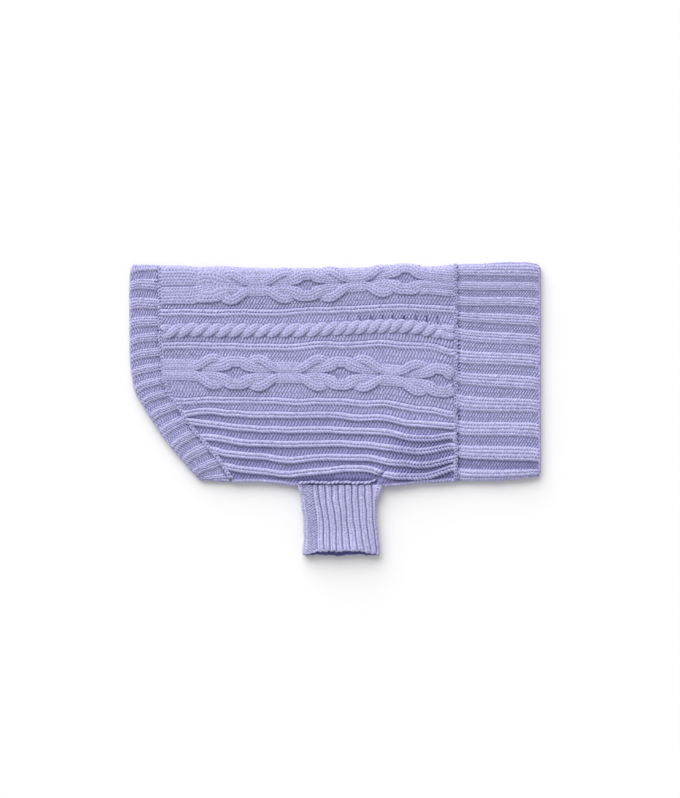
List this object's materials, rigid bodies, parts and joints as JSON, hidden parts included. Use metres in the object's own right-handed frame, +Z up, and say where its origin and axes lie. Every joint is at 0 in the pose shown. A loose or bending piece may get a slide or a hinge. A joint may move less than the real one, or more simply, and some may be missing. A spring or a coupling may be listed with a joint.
{
  "type": "dog sweater",
  "caption": "Cable-knit dog sweater laid flat on its side: folded body tube, wide ribbed collar, ribbed hem band and short ribbed leg sleeves, in lilac knit.",
  "frame": {"origin": "centre of the bounding box, at the surface the sweater lies on", "axes": "+X along the back from the hem to the collar, +Y across the sweater from the belly fold to the spine fold, +Z up from the surface"},
  "size_m": [0.4116, 0.293, 0.0102],
  "materials": {
    "cable_knit": "matte lilac wool-blend knit, cables and ribs on a purl ground",
    "rib_knit": "matte lilac wide rib knit",
    "fine_rib_knit": "matte lilac two-by-one rib knit"
  },
  "bodies": {
    "root": {"body": "cable_knit", "collar": "rib_knit", "hem_band": "rib_knit", "sleeve_near": "fine_rib_knit", "sleeve_far": "fine_rib_knit"}
  },
  "joints": []
}
